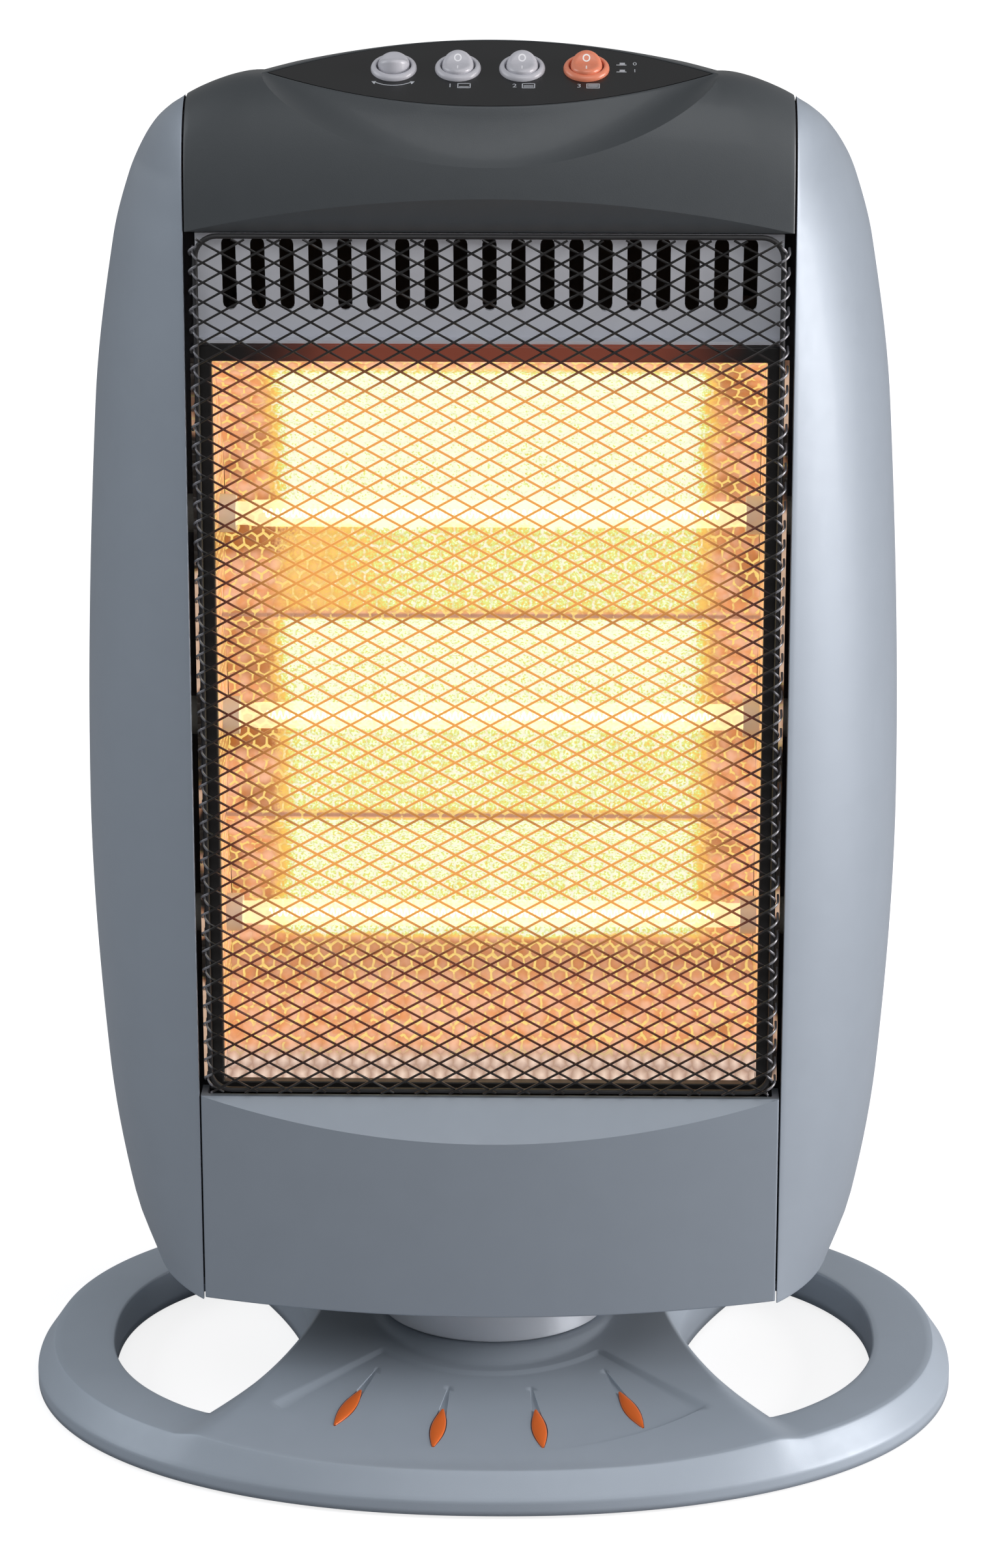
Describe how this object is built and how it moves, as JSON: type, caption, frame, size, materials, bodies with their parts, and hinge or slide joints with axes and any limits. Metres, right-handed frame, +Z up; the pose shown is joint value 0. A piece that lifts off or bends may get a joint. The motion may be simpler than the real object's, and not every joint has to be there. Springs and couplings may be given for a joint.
{
  "type": "halogen heater",
  "caption": "Upright oscillating halogen heater: curved head with a mesh guard over lamps and reflector, on a ring-shaped base.",
  "frame": {"origin": "on the floor, on the swivel axis, at the centre of the base", "axes": "+Z up, -Y towards the front of the guard, +X to the right of someone facing the guard"},
  "size_m": [0.366, 0.278, 0.5397],
  "materials": {
    "silver_plastic": "satin metallic lacquer",
    "charcoal_plastic": "fine satin",
    "gloss_black": "high gloss",
    "amber_plastic": "satin translucent look",
    "switch_grey": "satin",
    "switch_amber": "satin",
    "guard_wire": "satin enamel on expanded steel",
    "black_steel": "heat-resistant satin enamel",
    "baffle_metal": "satin lacquer",
    "bright_steel": "fine turned",
    "collar_chrome": "polished",
    "reflector_aluminium": "embossed and polished",
    "quartz": "clear quartz with a glowing filament",
    "ceramic": "matt",
    "rubber": "matt",
    "black_plastic": "fine matt",
    "brass": "plain"
  },
  "bodies": {
    "base": {"base_shell": "silver_plastic", "base_bottom_plate": "black_plastic", "base_inlay_1": "amber_plastic", "base_inlay_2": "amber_plastic", "base_inlay_3": "amber_plastic", "base_inlay_4": "amber_plastic", "rubber_foot_1": "rubber", "rubber_foot_2": "rubber", "rubber_foot_3": "rubber", "rubber_foot_4": "rubber", "swivel_collar": "collar_chrome", "pivot_tube": "bright_steel", "drive_arm": "bright_steel", "tip_switch_body": "black_plastic"},
    "head": {"head_base_pan": "charcoal_plastic", "left_side_panel": "silver_plastic", "right_side_panel": "silver_plastic", "top_cover": "charcoal_plastic", "control_panel": "gloss_black", "lower_front_panel": "silver_plastic", "rear_cover": "charcoal_plastic", "vent_baffle": "baffle_metal", "reflector": "reflector_aluminium", "reflector_end_left": "reflector_aluminium", "reflector_end_right": "reflector_aluminium", "halogen_lamp_1": "quartz", "halogen_lamp_2": "quartz", "halogen_lamp_3": "quartz", "lamp_socket_left_1": "ceramic", "lamp_socket_left_2": "ceramic", "lamp_socket_left_3": "ceramic", "lamp_socket_right_1": "ceramic", "lamp_socket_right_2": "ceramic", "lamp_socket_right_3": "ceramic", "guard_grille": "guard_wire", "grille_frame": "black_steel", "switch_body_1": "switch_grey", "switch_body_2": "switch_grey", "switch_body_3": "switch_grey", "switch_body_4": "switch_amber", "oscillation_motor": "bright_steel", "swivel_washer": "bright_steel", "retaining_ring": "bright_steel", "cord_gland": "rubber", "rear_screw_1": "bright_steel", "rear_screw_2": "bright_steel", "rear_screw_3": "bright_steel", "rear_screw_4": "bright_steel", "rear_screw_5": "bright_steel", "rear_screw_6": "bright_steel"},
    "plunger": {"tip_switch_plunger": "switch_grey"},
    "rocker_body_1": {"rocker_1": "switch_grey"},
    "rocker_body_2": {"rocker_2": "switch_grey"},
    "rocker_body_3": {"rocker_3": "switch_grey"},
    "rocker_body_4": {"rocker_4": "switch_amber"},
    "crank": {"motor_crank": "brass"},
    "link": {"oscillation_link": "bright_steel"}
  },
  "joints": [
    {"name": "head_swivel", "type": "hinge", "parent": "base", "child": "head", "pos_m": [0, 0, 0.05], "axis": [0, 0, 1], "range_deg": [-35, 35]},
    {"name": "tip_plunger_slide", "type": "slide", "parent": "base", "child": "plunger", "axis": [0, 0, -1], "range_m": [0, 0.0045], "stiffness_N_per_m": 30, "springref_m": 0.0045},
    {"name": "rocker_tilt_1", "type": "hinge", "parent": "head", "child": "rocker_body_1", "pos_m": [-0.03465, -0.05271, 0.5307], "axis": [1, 0, 0], "range_deg": [0, 30]},
    {"name": "rocker_tilt_2", "type": "hinge", "parent": "head", "child": "rocker_body_2", "pos_m": [-0.01155, -0.05271, 0.5307], "axis": [1, 0, 0], "range_deg": [-30, 0]},
    {"name": "rocker_tilt_3", "type": "hinge", "parent": "head", "child": "rocker_body_3", "pos_m": [0.01155, -0.05271, 0.5307], "axis": [1, 0, 0], "range_deg": [-30, 0]},
    {"name": "rocker_tilt_4", "type": "hinge", "parent": "head", "child": "rocker_body_4", "pos_m": [0.03465, -0.05271, 0.5307], "axis": [1, 0, 0], "range_deg": [-30, 0]},
    {"name": "motor_crank_turn", "type": "hinge", "parent": "head", "child": "crank", "pos_m": [0.048, 0, 0.086], "axis": [0, 0, 1], "range_deg": [-60, 60]},
    {"name": "link_turn", "type": "hinge", "parent": "crank", "child": "link", "pos_m": [0.0504, 0.01152, 0.0894], "axis": [0, 0, 1], "range_deg": [-56, 56]}
  ],
  "couplings": [
    {"joint": "motor_crank_turn", "follows": "head_swivel", "ratio": -1.689},
    {"joint": "link_turn", "follows": "head_swivel", "ratio": 1.58}
  ]
}
